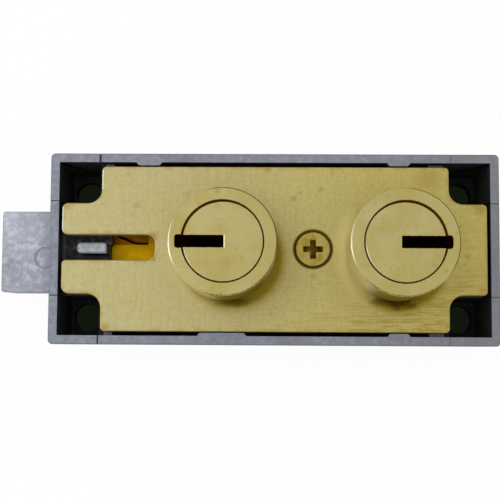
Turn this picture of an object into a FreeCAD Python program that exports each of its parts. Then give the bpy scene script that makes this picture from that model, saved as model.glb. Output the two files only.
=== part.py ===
import FreeCAD, Part
import math
import os

os.makedirs("parts", exist_ok=True)

# A double-nose safe deposit box lock, in millimetres, lying on its back at z = 0.
# The bolt points along -X and is drawn in along +X, and both noses point along +Z.

# Case, a zinc die casting
case_length = 108.0
case_width = 46.2
case_depth = 19.0
case_wall = 2.15
case_floor = 2.5
case_corner_radius = 0.8
case_draft = 0.4
rim_chamfer = 0.25

# Inside the case: ledges under the plate's corners, pads that centre it and ribs under the rails
ledge_depth = 2.0
left_ledge_end = -39.0
right_ledge_start = 37.5
pad_proud = 0.75
pad_slope = 0.6
upper_pads = [(-33.0, -27.7), (27.1, 32.7)]
lower_pads = [(-18.3, -6.8), (27.1, 32.7)]
rib_start = -28.0
lower_rib_end = 22.0
upper_rib_end = 14.0
lower_rib_edges = (-15.4, -13.4)
upper_rib_edges = (15.4, 17.4)

# Corner pockets for the mounting screws, walled off from the works
mount_spacing_x = 95.25
mount_spacing_y = 31.75
mount_hole_radius = 3.5
works_half_length = 41.0
pocket_start_x = 42.3
channel_half_width = 10.3
pocket_start_y = 11.3

# Cover plate, blanked brass, nearly flush with the rim of the case
plate_thickness = 2.6
plate_top = 18.9
plate_bottom = plate_top - plate_thickness
plate_half_length = 51.1
plate_half_width = 19.95
plate_body_half_length = 42.0
plate_tab_half_width = 11.0
plate_corner_radius = 1.1
plate_lower_left_radius = 2.0
plate_upper_left_radius = 1.4
plate_notch_radius = 3.4
slot_end_x = -29.0
slot_top = 3.3
slot_bottom = -2.8
slot_corner_radius = 1.7

# Key stations: the guard nose is on the bolt's side, and the renter nose on the other
guard_x = -11.8
renter_x = 29.5
outward = {"guard": -1.0, "renter": 1.0}
station_x = {"guard": guard_x, "renter": renter_x}

# Noses, turned brass, each with a spigot pressed through the cover plate and flush under it
nose_radius = 12.4
nose_spigot_radius = 12.0
nose_height = 12.7
nose_face = plate_top + nose_height
nose_chamfer = 0.35
nose_bore_radius = 9.5
nose_key_notch_width = 3.0
nose_key_notch_reach = 10.9

# Plugs, turned brass, carried by the nose above and by a socket in the floor below
plug_radius = 9.42
plug_flange_radius = 11.2
plug_flange_bottom = 12.8
plug_flange_top = 16.1
plug_shank_radius = 5.5
socket_radius = 5.57
socket_bottom = 1.3
keyway_width = 2.8
keyway_start = -0.5
keyway_bottom = 2.6
plug_turn = 90.0

# Cover screw, countersunk, in a boss between the two stations
screw_x = 9.35
screw_head_radius = 4.55
screw_shank_radius = 2.1
screw_head_depth = 2.3
screw_bottom = 6.0
countersink_clearance = 0.1
boss_radius = 4.0

# Bolt, a zinc die casting: a head in the case's window and a plate over the levers
bolt_throw = 12.7
bolt_half_width = 10.0
bolt_tip_x = -66.7
bolt_head_back_x = -51.9
bolt_head_bottom = 3.0
bolt_head_top = 14.4
bolt_tip_radius = 0.7
bolt_core_front_x = -60.0
bolt_core_half_width = 8.5
bolt_core_top = 9.4
bolt_plate_bottom = 9.5
bolt_plate_top = 12.2
bolt_window_x = -40.5
bolt_upper_window_x = -39.95
bolt_window_step_y = 1.8
bolt_neck_end_x = -38.2
bolt_wide_window_x = -35.5
bolt_narrow_half_width = 5.5
bolt_wide_half_width = 11.3
bolt_rail_half_width = 17.5
bolt_rail_corner = 1.5
upper_rail_end = 24.0
lower_rail_end = 27.5
lug_back_x = -41.0
lug_front_x = -48.4
lug_centre_y = 0.45
lug_width = 2.8
lug_front_radius = 1.2
lug_back_radius = 0.3
lug_top = 16.0
guide_pads = [(-33.0, -26.0), (12.0, 19.0)]
guide_pad_near = 13.0
guide_pad_far = 16.5
guide_pad_top = plate_bottom - 0.1
overlap = 0.5
window_clearance = 0.25
window_gap_below = 0.1
window_gap_above = 0.2

# Driver pin on the renter plug, which works the bolt's fork
driver_pin_radius = 2.0
driver_orbit = bolt_throw / 2 / math.sin(math.radians(plug_turn / 2))
driver_start_angle = 225.0
fork_slot_width = 4.9
fork_prong_width = 3.2
fork_top = -5.9

# Lever packs on steel posts: three brass levers at the guard plug, five at the renter plug
lever_lift_degrees = {"guard": [6.0, 5.25, 4.5], "renter": [7.5, 6.75, 6.0, 5.25, 4.5]}
full_stack = 5
lever_thickness = 1.22
lever_gap = 0.08
lever_pivot_reach = 11.3
lever_eye_radius = 3.4
lever_post_radius = 1.5
lever_post_clearance = 0.05
lever_top_edge = 9.4
lever_lower_edge = -9.9
lever_web_edge = -8.4
lever_prong_edge = -3.0
lever_heel = 12.4
lever_heel_half_height = 3.2
lever_shoulder = 7.6
lever_foot = 6.0
renter_shoulder = 8.5
renter_slope_end = 11.0
renter_arm_edge = 4.8
renter_arm_end = 16.5
guard_shoulder = 19.6
guard_arms = [(4.8, 28.9, 2.2), (4.6, 28.9, 0.4), (2.25, 29.35, 0.4)]
shank_opening = (-7.4, 7.4, -8.3, 6.5, 3.0)
key_bit_opening = (6.0, 11.4, -1.8, 6.0, 0)
pocket_start = 3.0

# Fences: square pegs under the bolt plate that pass the gates of the levers
fence_width = 2.4
fence_y = -4.5
fence_bottom = 2.7
fence_rivet_radius = 0.9
fence_arm_half_width = 1.3
tongue_edge = -10.1
fence_far = 19.5
fence_near = fence_far - bolt_throw
gate_distance = (fence_far + fence_near) / 2
gate_bar = 1.4
gate_margin = 0.1
gate_clearance = 0.3

# Lever springs, flat strips
spring_thickness = 0.3
spring_width = 0.8
guard_rib_x0 = -39.0
guard_rib_x1 = -36.0
guard_rib_y = 11.6
guard_spring_start = -32.3
guard_spring_bend = -34.9
guard_spring_end = -37.0
top_guard_bends = [(-38.3, 4.0), (-40.3, 5.0), (-40.3, 8.5)]
lower_guard_bends = [(-38.0, 6.6), (-39.6, 7.2), (-39.8, 9.4)]
renter_spring_start = 22.5
renter_spring_bend = 33.0
renter_bends = [(34.2, 10.8), (33.6, 13.6), (24.0, 15.2), (16.8, 20.75)]


def box(x0, x1, y0, y1, z0, z1):
    size = FreeCAD.Vector(x1 - x0, y1 - y0, z1 - z0)
    return Part.makeBox(size.x, size.y, size.z, FreeCAD.Vector(x0, y0, z0))


def cylinder(x, y, radius, z0, z1):
    return Part.makeCylinder(radius, z1 - z0, FreeCAD.Vector(x, y, z0))


def rounded_wire(corners, z):
    """A closed outline through (x, y, radius) corners, each rounded by a tangent arc."""
    points = [FreeCAD.Vector(x, y, z) for x, y, radius in corners]
    arcs = []
    for i, (x, y, radius) in enumerate(corners):
        here = points[i]
        back = (points[i - 1] - here).normalize()
        ahead = (points[(i + 1) % len(points)] - here).normalize()
        half = back.getAngle(ahead) / 2
        if radius == 0 or half > math.radians(89.9):
            arcs.append((here, None, here))
            continue
        reach = radius / math.tan(half)
        bisector = (back + ahead).normalize()
        middle = here + bisector * (radius / math.sin(half) - radius)
        arcs.append((here + back * reach, middle, here + ahead * reach))
    edges = []
    for i, (start, middle, end) in enumerate(arcs):
        if middle is not None:
            edges.append(Part.Arc(start, middle, end).toShape())
        following = arcs[(i + 1) % len(arcs)][0]
        if (following - end).Length > 1e-6:
            edges.append(Part.LineSegment(end, following).toShape())
    return Part.Wire(edges)


def slab(corners, z0, z1):
    face = Part.Face(rounded_wire(corners, z0))
    return face.extrude(FreeCAD.Vector(0, 0, z1 - z0))


def rounded_box(x0, x1, y0, y1, z0, z1, radius):
    corners = [(x0, y0, radius), (x1, y0, radius), (x1, y1, radius), (x0, y1, radius)]
    return slab(corners, z0, z1)


def turned(x, profile):
    """A turned piece about the vertical axis at (x, 0), from (radius, z) points."""
    points = [FreeCAD.Vector(x + radius, 0, z) for radius, z in profile]
    face = Part.Face(Part.makePolygon(points + points[:1]))
    return face.revolve(FreeCAD.Vector(x, 0, 0), FreeCAD.Vector(0, 0, 1), 360)


def save(name, shape):
    shape.exportStep("parts/" + name + ".step")


def build_case():
    half_length = case_length / 2
    half_width = case_width / 2
    inner_x = half_length - case_wall
    inner_y = half_width - case_wall
    body = case_block(half_length, half_width)
    works = works_half_length
    hollow = box(-works, works, -inner_y, inner_y, case_floor, case_depth)
    channel = channel_half_width
    hollow = hollow.fuse(box(-inner_x, inner_x, -channel, channel, case_floor, case_depth))
    over_plate = box(-inner_x, inner_x, -inner_y, inner_y, plate_bottom, case_depth)
    body = body.cut(hollow.fuse(over_plate))
    for side_x in (-1, 1):
        for side_y in (-1, 1):
            x0, x1 = sorted((side_x * pocket_start_x, side_x * inner_x))
            y0, y1 = sorted((side_y * pocket_start_y, side_y * inner_y))
            body = body.cut(box(x0, x1, y0, y1, case_floor, case_depth))
            hole_x = side_x * mount_spacing_x / 2
            hole_y = side_y * mount_spacing_y / 2
            body = body.cut(cylinder(hole_x, hole_y, mount_hole_radius, 0, case_floor))
    body = body.fuse(case_ribs(inner_y))
    window = box(
        -half_length, -inner_x,
        -bolt_half_width - window_clearance, bolt_half_width + window_clearance,
        bolt_head_bottom - window_gap_below, bolt_head_top + window_gap_above
    )
    body = body.cut(window)
    for x in (guard_x, renter_x):
        body = body.cut(cylinder(x, 0, socket_radius, socket_bottom, case_floor))
    for side in ("guard", "renter"):
        pad_top = lever_bottom(side, 0)
        body = body.cut(cylinder(pivot_x(side), 0, lever_post_radius, socket_bottom, pad_top))
    body = body.cut(cylinder(screw_x, 0, screw_shank_radius, screw_bottom, plate_bottom))
    return body.removeSplitter()


def case_block(half_length, half_width):
    """The case before it is hollowed: narrower at its back, and with a broken edge at the rim."""
    outlines = []
    rim = case_depth - rim_chamfer
    for z, inset in ((0, case_draft), (rim, 0), (case_depth, rim_chamfer)):
        x = half_length - inset
        y = half_width - inset
        radius = case_corner_radius
        corners = [(-x, -y, radius), (x, -y, radius), (x, y, radius), (-x, y, radius)]
        outlines.append(rounded_wire(corners, z))
    return Part.makeLoft(outlines, True, True)


def case_ribs(inner_y):
    """The screw boss, the ledges under the plate's corners, the wall pads and the guide ribs."""
    rib_top = bolt_plate_bottom - window_gap_below
    ribs = [cylinder(screw_x, 0, boss_radius, case_floor, plate_bottom)]
    ribs.append(cylinder(pivot_x("guard"), 0, lever_eye_radius, case_floor, lever_bottom("guard", 0)))
    for side in (-1, 1):
        wall = side * inner_y
        ledge = wall - side * ledge_depth
        y0, y1 = sorted((wall, ledge))
        ends = ((-works_half_length, left_ledge_end), (right_ledge_start, works_half_length))
        for x0, x1 in ends:
            ribs.append(box(x0, x1, y0, y1, case_floor, plate_bottom))
        face = side * (inner_y - pad_proud)
        for x0, x1 in upper_pads if side > 0 else lower_pads:
            near = x0 + pad_slope
            far = x1 - pad_slope
            corners = [(x0, wall, 0), (x1, wall, 0), (far, face, 0), (near, face, 0)]
            ribs.append(slab(corners, case_floor, case_depth))
    ribs.append(box(rib_start, lower_rib_end, *lower_rib_edges, case_floor, rib_top))
    ribs.append(box(rib_start, upper_rib_end, *upper_rib_edges, case_floor, rib_top))
    ribs.append(box(guard_rib_x0, guard_rib_x1, guard_rib_y, inner_y, case_floor, rib_top))
    return ribs[0].fuse(ribs[1:])


def build_cover_plate():
    length = plate_half_length
    body = plate_body_half_length
    width = plate_half_width
    tab = plate_tab_half_width
    corner = plate_corner_radius
    notch = plate_notch_radius
    corners = [
        (-body, width, corner),
        (body, width, corner),
        (body, tab, notch),
        (length, tab, corner),
        (length, -tab, corner),
        (body, -tab, notch),
        (body, -width, corner),
        (-body, -width, corner),
        (-body, -tab, notch),
        (-length, -tab, plate_lower_left_radius),
        (-length, slot_bottom, corner),
        (slot_end_x, slot_bottom, slot_corner_radius),
        (slot_end_x, slot_top, slot_corner_radius),
        (-length, slot_top, plate_upper_left_radius),
        (-length, tab, plate_upper_left_radius),
        (-body, tab, notch),
    ]
    plate = slab(corners, plate_bottom, plate_top)
    for x in (guard_x, renter_x):
        plate = plate.cut(cylinder(x, 0, nose_spigot_radius, plate_bottom, plate_top))
    return plate.cut(screw_form(countersink_clearance))


def screw_form(clearance):
    """The screw's countersunk head and shank, as a turned solid grown by the clearance."""
    head = screw_head_radius + clearance
    shank = screw_shank_radius + clearance
    neck = plate_top - screw_head_depth
    return turned(
        screw_x,
        [(0, screw_bottom), (shank, screw_bottom), (shank, neck), (head, plate_top), (0, plate_top)],
    )


def build_nose(side):
    x = station_x[side]
    nose = turned(
        x,
        [
            (nose_bore_radius, plate_bottom),
            (nose_spigot_radius, plate_bottom),
            (nose_spigot_radius, plate_top),
            (nose_radius, plate_top),
            (nose_radius, nose_face - nose_chamfer),
            (nose_radius - nose_chamfer, nose_face),
            (nose_bore_radius, nose_face),
        ],
    )
    reach = x + outward[side] * nose_key_notch_reach
    x0, x1 = sorted((x, reach))
    half = nose_key_notch_width / 2
    return nose.cut(box(x0, x1, -half, half, plate_bottom, nose_face))


def build_plug(side):
    x = station_x[side]
    plug = turned(
        x,
        [
            (0, socket_bottom),
            (plug_shank_radius, socket_bottom),
            (plug_shank_radius, plug_flange_bottom),
            (plug_flange_radius, plug_flange_bottom),
            (plug_flange_radius, plug_flange_top),
            (plug_radius, plug_flange_top),
            (plug_radius, nose_face),
            (0, nose_face),
        ],
    )
    start = x + outward[side] * keyway_start
    end = x + outward[side] * (plug_flange_radius + 1)
    x0, x1 = sorted((start, end))
    half = keyway_width / 2
    plug = plug.cut(box(x0, x1, -half, half, keyway_bottom, nose_face))
    if side == "renter":
        pin_x, pin_y = driver_pin_place()
        plug = plug.cut(
            cylinder(pin_x, pin_y, driver_pin_radius, plug_flange_bottom, plug_flange_top)
        )
    return plug


def driver_pin_place():
    angle = math.radians(driver_start_angle)
    return renter_x + driver_orbit * math.cos(angle), driver_orbit * math.sin(angle)


def build_driver_pin():
    pin_x, pin_y = driver_pin_place()
    return cylinder(pin_x, pin_y, driver_pin_radius, bolt_plate_bottom, plug_flange_top)


def build_bolt():
    half = bolt_half_width
    tip = bolt_tip_radius
    head = slab(
        [
            (bolt_tip_x, -half, tip),
            (bolt_head_back_x, -half, 0),
            (bolt_head_back_x, half, 0),
            (bolt_tip_x, half, tip),
        ],
        bolt_head_bottom, bolt_head_top
    )
    core = bolt_core_half_width
    head = head.cut(
        box(bolt_core_front_x, bolt_head_back_x, -core, core, bolt_head_bottom, bolt_core_top)
    )
    neck = box(
        bolt_head_back_x, bolt_neck_end_x, -half, half, bolt_plate_bottom, bolt_plate_top
    )
    rail = bolt_rail_half_width
    wide = bolt_wide_half_width
    corner = bolt_rail_corner
    rails = [
        (bolt_neck_end_x, -rail, corner),
        (lower_rail_end, -rail, corner),
        (lower_rail_end, -wide, 0),
        (bolt_wide_window_x, -wide, 0),
        (bolt_wide_window_x, wide, 0),
        (upper_rail_end, wide, 0),
        (upper_rail_end, rail, corner),
        (bolt_neck_end_x, rail, corner),
    ]
    frame = slab(rails, bolt_plate_bottom, bolt_plate_top)
    window = bolt_narrow_half_width
    step = bolt_window_step_y
    openings = [
        box(bolt_window_x, bolt_wide_window_x, -window, step, bolt_plate_bottom, bolt_plate_top),
        box(
            bolt_upper_window_x, bolt_wide_window_x, step, window,
            bolt_plate_bottom, bolt_plate_top
        ),
    ]
    body = head.fuse([neck, frame, bolt_fork(), bolt_fence_tabs(), bolt_lug(), bolt_guides()])
    body = body.cut(openings)
    for side in ("guard", "renter"):
        body = body.cut(
            cylinder(fence_x(side), fence_y, fence_rivet_radius, bolt_plate_bottom, bolt_plate_top)
        )
    return body.removeSplitter()


def bolt_fork():
    """Two prongs that hold the driver pin between them."""
    slot_x = driver_pin_place()[0]
    near = slot_x - fork_slot_width / 2
    far = slot_x + fork_slot_width / 2
    root = -bolt_wide_half_width - overlap
    z0 = bolt_plate_bottom
    z1 = bolt_plate_top
    left = box(near - fork_prong_width, near, root, fork_top, z0, z1)
    right = box(far, lower_rail_end, root, fork_top, z0, z1)
    return left.fuse(right)


def bolt_fence_tabs():
    """The arms that carry the two fences out from the lower rail."""
    guard = fence_x("guard")
    renter = fence_x("renter")
    root = -bolt_wide_half_width - overlap
    half = fence_arm_half_width
    arm_top = fence_y + half
    z0 = bolt_plate_bottom
    z1 = bolt_plate_top
    guard_arm = box(guard - half, guard + half, root, arm_top, z0, z1)
    tongue = box(lower_rail_end, renter + half, tongue_edge, fork_top, z0, z1)
    renter_pad = box(renter - half, renter + half, tongue_edge, arm_top, z0, z1)
    return guard_arm.fuse([tongue, renter_pad])


def bolt_lug():
    """A low stop lug that shows in the slot of the cover plate."""
    half = lug_width / 2
    corners = [
        (lug_front_x, lug_centre_y - half, lug_front_radius),
        (lug_back_x, lug_centre_y - half, lug_back_radius),
        (lug_back_x, lug_centre_y + half, lug_back_radius),
        (lug_front_x, lug_centre_y + half, lug_front_radius),
    ]
    return slab(corners, bolt_plate_top - overlap, lug_top)


def bolt_guides():
    """Pads on the rails that run just under the cover plate."""
    pads = []
    for x0, x1 in guide_pads:
        for side in (-1, 1):
            y0, y1 = sorted((side * guide_pad_near, side * guide_pad_far))
            pads.append(box(x0, x1, y0, y1, bolt_plate_top - overlap, guide_pad_top))
    return pads[0].fuse(pads[1:])


def fence_x(side):
    """The guard fence starts outside its gates, and the renter fence inside them."""
    distance = fence_far if side == "guard" else fence_near
    return station_x[side] + outward[side] * distance


def build_fence(side):
    x = fence_x(side)
    half = fence_width / 2
    peg = box(
        x - half, x + half, fence_y - half, fence_y + half, fence_bottom, bolt_plate_bottom
    )
    rivet = cylinder(x, fence_y, fence_rivet_radius, bolt_plate_bottom, bolt_plate_top)
    return peg.fuse(rivet)


def pivot_x(side):
    return station_x[side] - outward[side] * lever_pivot_reach


def lever_count(side):
    return len(lever_lift_degrees[side])


def lever_bottom(side, index):
    """Both packs end at the same height, so the shorter one starts on a pad of the case."""
    place = full_stack - lever_count(side) + index
    return case_floor + lever_gap + place * (lever_thickness + lever_gap)


def lever_outline(side, index):
    """Corners as (distance outward from the plug axis, y, radius); guard arms differ in length."""
    top = lever_top_edge
    prong = lever_prong_edge
    heel_height = lever_heel_half_height
    heel = [
        (-lever_heel, -heel_height, 0),
        (-lever_heel, heel_height, 0),
        (-lever_shoulder, top, 0),
    ]
    foot = [
        (gate_distance + gate_bar / 2, prong, 0),
        (gate_distance + gate_bar / 2, lever_lower_edge, 0),
        (-lever_foot, lever_lower_edge, 0),
    ]
    if side == "renter":
        arm = [
            (renter_shoulder, top, 0),
            (renter_slope_end, renter_arm_edge, 0),
            (renter_arm_end, renter_arm_edge, 0),
            (renter_arm_end, prong, 0),
        ]
        return heel + arm + foot
    arm_edge, arm_end, end_radius = guard_arms[index]
    arm = [
        (guard_shoulder, top, 0),
        (guard_shoulder, arm_edge, 0),
        (arm_end, arm_edge, end_radius),
        (arm_end, prong, 0),
    ]
    return heel + arm + foot


def build_lever(side, index):
    centre = station_x[side]
    out = outward[side]
    z0 = lever_bottom(side, index)
    z1 = z0 + lever_thickness
    corners = [(centre + out * d, y, radius) for d, y, radius in lever_outline(side, index)]
    eye = cylinder(pivot_x(side), 0, lever_eye_radius, z0, z1)
    lever = slab(corners, z0, z1).fuse(eye)
    post_hole = lever_post_radius + lever_post_clearance
    openings = [cylinder(pivot_x(side), 0, post_hole, z0, z1)]
    pocket_end = gate_distance - gate_bar / 2
    lift = math.radians(lever_lift_degrees[side][index])
    gate_arm = gate_distance + lever_pivot_reach
    gate_y = fence_y - gate_arm * math.sin(lift / 2)
    passing = (fence_width + gate_bar + gate_margin) / bolt_throw
    gate_half = fence_width / 2 + gate_arm * lift * passing / 2 + gate_clearance
    regions = [
        shank_opening,
        key_bit_opening,
        (pocket_start, pocket_end, lever_web_edge, lever_prong_edge, 0),
        (pocket_end - 1, gate_distance + gate_bar, gate_y - gate_half, gate_y + gate_half, 0),
    ]
    for d0, d1, y0, y1, radius in regions:
        x0, x1 = sorted((centre + out * d0, centre + out * d1))
        openings.append(rounded_box(x0, x1, y0, y1, z0, z1, radius))
    return lever.cut(openings).removeSplitter()


def build_post(side):
    x = pivot_x(side)
    return cylinder(x, 0, lever_post_radius, socket_bottom, lever_bottom(side, lever_count(side)))


def spring_path(side, index):
    """Corners of the strip's middle line, from the lever to the case."""
    half = spring_thickness / 2
    if side == "renter":
        top = lever_top_edge + half
        return [(renter_spring_start, top), (renter_spring_bend, top)] + renter_bends
    edge = guard_arms[index][0] + half
    start = [(guard_spring_start, edge), (guard_spring_bend, edge)]
    bends = top_guard_bends if index == lever_count("guard") - 1 else lower_guard_bends
    return start + bends + [(guard_spring_end, guard_rib_y - half)]


def offset_path(path, distance):
    """The path's corners moved sideways by the distance, to the left of its direction."""
    moved = []
    for i, (x, y) in enumerate(path):
        runs = []
        for a, b in ((i - 1, i), (i, i + 1)):
            if a >= 0 and b < len(path):
                run = FreeCAD.Vector(path[b][0] - path[a][0], path[b][1] - path[a][1], 0)
                runs.append(run.normalize())
        normals = [FreeCAD.Vector(-run.y, run.x, 0) for run in runs]
        mean = normals[0] + normals[-1]
        mean.normalize()
        shift = mean * (distance / mean.dot(normals[0]))
        moved.append((x + shift.x, y + shift.y, 0))
    return moved


def build_spring(side, index):
    path = spring_path(side, index)
    half = spring_thickness / 2
    outline = offset_path(path, half) + offset_path(path, -half)[::-1]
    middle = lever_bottom(side, index) + lever_thickness / 2
    return slab(outline, middle - spring_width / 2, middle + spring_width / 2)


save("case", build_case())
save("cover_plate", build_cover_plate())
save("cover_screw", screw_form(0))
save("bolt", build_bolt())
save("driver_pin", build_driver_pin())
for station in ("guard", "renter"):
    save(station + "_nose", build_nose(station))
    save(station + "_plug", build_plug(station))
    save(station + "_fence", build_fence(station))
    save(station + "_lever_post", build_post(station))
    for lever_index in range(lever_count(station)):
        number = str(lever_index + 1)
        save(station + "_lever_" + number, build_lever(station, lever_index))
        save(station + "_lever_spring_" + number, build_spring(station, lever_index))
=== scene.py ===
import math
from functools import partialmethod

import bmesh
import bpy
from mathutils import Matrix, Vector


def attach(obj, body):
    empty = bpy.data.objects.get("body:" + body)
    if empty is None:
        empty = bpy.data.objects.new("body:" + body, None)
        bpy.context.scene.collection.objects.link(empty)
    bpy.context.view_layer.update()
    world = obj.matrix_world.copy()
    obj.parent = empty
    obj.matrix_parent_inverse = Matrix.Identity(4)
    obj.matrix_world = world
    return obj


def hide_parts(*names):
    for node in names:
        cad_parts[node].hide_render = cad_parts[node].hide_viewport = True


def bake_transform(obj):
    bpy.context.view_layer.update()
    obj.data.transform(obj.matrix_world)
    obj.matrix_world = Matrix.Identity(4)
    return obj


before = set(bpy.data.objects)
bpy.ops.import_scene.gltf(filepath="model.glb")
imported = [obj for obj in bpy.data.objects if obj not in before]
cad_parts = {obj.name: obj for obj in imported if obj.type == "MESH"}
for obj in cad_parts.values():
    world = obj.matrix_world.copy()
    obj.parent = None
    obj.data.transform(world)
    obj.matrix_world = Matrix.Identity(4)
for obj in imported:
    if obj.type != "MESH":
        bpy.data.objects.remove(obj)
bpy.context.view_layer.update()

mm = 0.001

# The lock lies on its back: the bolt points along -X, the two noses point up along +Z.
# Sizes below are in millimetres.

camera = {
    "spot": (-3.22, -27.98, 224.68),
    "turn": (3.699, 0.654, 0.355),  # degrees about X, Y and Z
    "lens": 62.2,
    "shiftUp": 0.12,
}


def setCamera():
    data = bpy.data.cameras.new("camera")
    data.lens = camera["lens"]
    data.sensor_width = 36
    data.shift_y = camera["shiftUp"]
    data.clip_start = 0.01
    data.clip_end = 10
    holder = bpy.data.objects.new("camera", data)
    holder.location = Vector(camera["spot"]) * mm
    holder.rotation_euler = [math.radians(angle) for angle in camera["turn"]]
    bpy.context.scene.collection.objects.link(holder)
    bpy.context.scene.camera = holder
    print("camera set")


# Small modelling helpers

def deselectAll():
    if bpy.context.object and bpy.context.object.mode != "OBJECT":
        bpy.ops.object.mode_set(mode="OBJECT")
    bpy.ops.object.select_all(action="DESELECT")


def onlySelect(piece):
    deselectAll()
    piece.select_set(True)
    bpy.context.view_layer.objects.active = piece


def settle(piece):
    onlySelect(piece)
    bpy.ops.object.transform_apply(location=True, rotation=True, scale=True)
    return piece


def addBlock(name, x0, x1, y0, y1, z0, z1):
    deselectAll()
    centre = Vector(((x0 + x1) / 2, (y0 + y1) / 2, (z0 + z1) / 2)) * mm
    lengths = [(end - start) * mm for start, end in ((x0, x1), (y0, y1), (z0, z1))]
    bpy.ops.mesh.primitive_cube_add(size=1, location=centre, scale=lengths)
    bpy.context.object.name = name
    return settle(bpy.context.object)


def addRod(name, x, y, radius, z0, z1, sides):
    deselectAll()
    centre = Vector((x, y, (z0 + z1) / 2)) * mm
    height = (z1 - z0) * mm
    bpy.ops.mesh.primitive_cylinder_add(vertices=sides, radius=radius * mm, depth=height, location=centre)
    bpy.context.object.name = name
    return settle(bpy.context.object)


def addTurned(name, x, profile, sides, closed=False):
    # A lathe shape about the vertical axis at (x, 0): one ring is drawn out along the profile.
    deselectAll()
    radius, height = profile[0]
    bpy.ops.mesh.primitive_circle_add(vertices=sides, radius=radius * mm, location=(x * mm, 0, height * mm))
    piece = bpy.context.object
    piece.name = name
    settle(piece)
    bpy.ops.object.mode_set(mode="EDIT")
    bpy.ops.mesh.select_all(action="SELECT")
    if not closed:
        bpy.ops.mesh.edge_face_add()
        bpy.ops.mesh.select_all(action="SELECT")
    for newRadius, newHeight in profile[1:] + (profile[:1] if closed else []):
        bpy.ops.mesh.extrude_edges_move() if closed else bpy.ops.mesh.extrude_region_move()
        share = newRadius / radius
        bpy.ops.transform.resize(value=(share, share, 1), center_override=(x * mm, 0, height * mm))
        bpy.ops.transform.translate(value=(0, 0, (newHeight - height) * mm))
        radius, height = newRadius, newHeight
    bpy.ops.mesh.select_all(action="SELECT")
    bpy.ops.mesh.remove_doubles(threshold=1e-7)
    bpy.ops.mesh.normals_make_consistent(inside=False)
    bpy.ops.object.mode_set(mode="OBJECT")
    return piece


def combine(piece, others, operation):
    # Boolean with each other piece in turn, which is then thrown away.
    for other in others:
        onlySelect(piece)
        step = piece.modifiers.new("boolean", "BOOLEAN")
        step.operation = operation
        step.solver = "MANIFOLD"
        step.object = other
        bpy.ops.object.modifier_apply(modifier=step.name)
        bpy.data.objects.remove(other)
    return piece


def cut(piece, *others):
    return combine(piece, others, "DIFFERENCE")


def add(piece, *others):
    return combine(piece, others, "UNION")


def selectIn(piece, kind, chosen):
    # Leaves the piece in edit mode, with the edges or faces that pass the test selected
    onlySelect(piece)
    bpy.ops.object.mode_set(mode="EDIT")
    bpy.ops.mesh.select_mode(type=kind)
    bpy.ops.mesh.select_all(action="DESELECT")
    shape = bmesh.from_edit_mesh(piece.data)
    for item in shape.edges if kind == "EDGE" else shape.faces:
        item.select_set(chosen(item))
    bmesh.update_edit_mesh(piece.data)


def bevelWhere(piece, chosen, width, segments):
    # Rounds the edges whose two ends, in millimetres, pass the test
    selectIn(piece, "EDGE", lambda edge: chosen(*[v.co / mm for v in edge.verts]))
    bpy.ops.mesh.bevel(offset=width * mm, segments=segments, affect="EDGES", clamp_overlap=True)
    bpy.ops.object.mode_set(mode="OBJECT")


def scaleFaces(piece, chosen, factors, centre):
    # Scales the faces whose normal passes the test about a centre in millimetres
    selectIn(piece, "FACE", lambda face: chosen(face.normal))
    bpy.ops.transform.resize(value=factors, center_override=Vector(centre) * mm)
    bpy.ops.object.mode_set(mode="OBJECT")


def giveFaces(piece, material, chosen):
    # The faces whose middle, in millimetres, passes the test take a second material.
    piece.data.materials.append(material)
    for face in piece.data.polygons:
        if chosen(face.center / mm):
            face.material_index = len(piece.data.materials) - 1


# Tests for choosing edges by their two ends, and faces by their normal

def standing(a, b):
    return abs(a.z - b.z) > 0.5


def upright(x, y):
    # Standing at this place
    def chosen(a, b):
        offsets = (a.x - x, b.x - x, a.y - y, b.y - y)
        return max(abs(offset) for offset in offsets) < 0.02 and standing(a, b)

    return chosen


def levelAt(z):
    # Lying at this height
    return lambda a, b: max(abs(a.z - z), abs(b.z - z)) < 0.01


def facingDown(normal):
    return normal.z < -0.9


def softenEdges(piece, width, segments, angle=35):
    onlySelect(piece)
    step = piece.modifiers.new("edges", "BEVEL")
    step.width = width * mm
    step.segments = segments
    step.limit_method = "ANGLE"
    step.angle_limit = math.radians(angle)
    bpy.ops.object.modifier_apply(modifier=step.name)


def smoothFaces(piece):
    # Large faces stay flat, and the small bevels between them take up the turn.
    onlySelect(piece)
    bpy.ops.object.shade_smooth_by_angle(angle=math.radians(35))
    step = piece.modifiers.new("normals", "WEIGHTED_NORMAL")
    step.mode = "FACE_AREA"
    step.weight = 50
    step.keep_sharp = True
    bpy.ops.object.modifier_apply(modifier=step.name)


def finishPiece(piece, body, material, replaced):
    smoothFaces(piece)
    piece.data.materials.clear()
    piece.data.materials.append(material)
    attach(piece, body)
    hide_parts(replaced)


# Shader maths: a wrapped socket takes the usual operators

class Signal:
    def __init__(self, book, socket):
        self.book = book
        self.socket = socket

    def maths(self, operation, *others):
        return self.book.node("ShaderNodeMath", {"operation": operation}, dict(enumerate((self,) + others)))

    __add__ = __radd__ = partialmethod(maths, "ADD")
    __sub__ = partialmethod(maths, "SUBTRACT")
    __mul__ = __rmul__ = partialmethod(maths, "MULTIPLY")
    __gt__ = partialmethod(maths, "GREATER_THAN")
    __abs__ = partialmethod(maths, "ABSOLUTE")
    least = partialmethod(maths, "MINIMUM")
    most = partialmethod(maths, "MAXIMUM")

    def __rsub__(self, other):
        return self.book.node("ShaderNodeMath", {"operation": "SUBTRACT"}, {0: other, 1: self})

    def ramp(self, low, high, atLow=0.0, atHigh=1.0):
        return self.book.node(
            "ShaderNodeMapRange",
            {"interpolation_type": "SMOOTHSTEP"},
            {"Value": self, "From Min": low, "From Max": high, "To Min": atLow, "To Max": atHigh},
        )

    def fade(self, low, high, strength=1.0):
        # The strength up to the low value, and nothing past the high one
        return self.ramp(low, high, strength, 0.0)


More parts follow.
